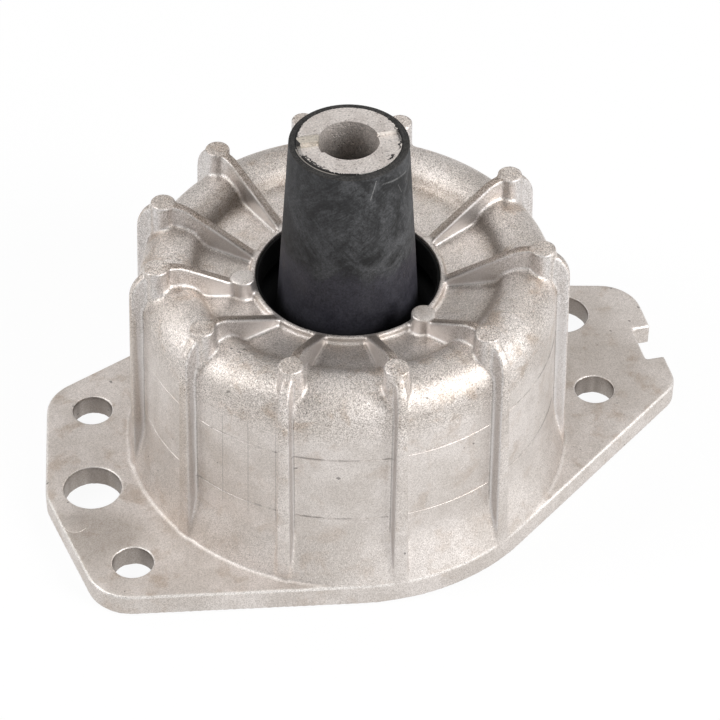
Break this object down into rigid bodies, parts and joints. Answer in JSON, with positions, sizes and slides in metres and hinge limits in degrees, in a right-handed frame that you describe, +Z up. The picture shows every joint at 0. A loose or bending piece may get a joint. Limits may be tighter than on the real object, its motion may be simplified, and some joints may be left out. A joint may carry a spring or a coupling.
{
  "type": "engine mount",
  "caption": "Ribbed die-cast bell on a bolt flange round a rubber-covered conical core with a blind bolt bore; a hydraulic insert closes its underside.",
  "frame": {"origin": "on the bell's axis, level with the flange's underside", "axes": "+X along the flange's length towards its notched end, +Z up along the core, out of its bolt bore"},
  "size_m": [0.1838, 0.1232, 0.11],
  "materials": {
    "cast_housing": "shot-blasted die casting, warm light grey",
    "cast_core": "shot-blasted die casting, light grey",
    "spring_rubber": "moulded natural rubber with a grey bloom",
    "seal_rubber": "smooth moulded rubber",
    "plate_aluminium": "die casting, machined faces",
    "ring_steel": "turned steel",
    "cup_steel": "pressed sheet, zinc plated",
    "clip_steel": "phosphated spring steel, dark"
  },
  "bodies": {
    "root": {"housing": "cast_housing", "rebound_stop": "seal_rubber", "core": "cast_core", "main_spring": "spring_rubber", "spring_ring": "ring_steel", "upper_channel_plate": "plate_aluminium", "lower_channel_plate": "plate_aluminium", "seal_ring": "seal_rubber", "decoupler_membrane": "seal_rubber", "diaphragm": "seal_rubber", "diaphragm_ring": "ring_steel", "base_cup": "cup_steel", "retaining_ring": "clip_steel"}
  },
  "joints": []
}
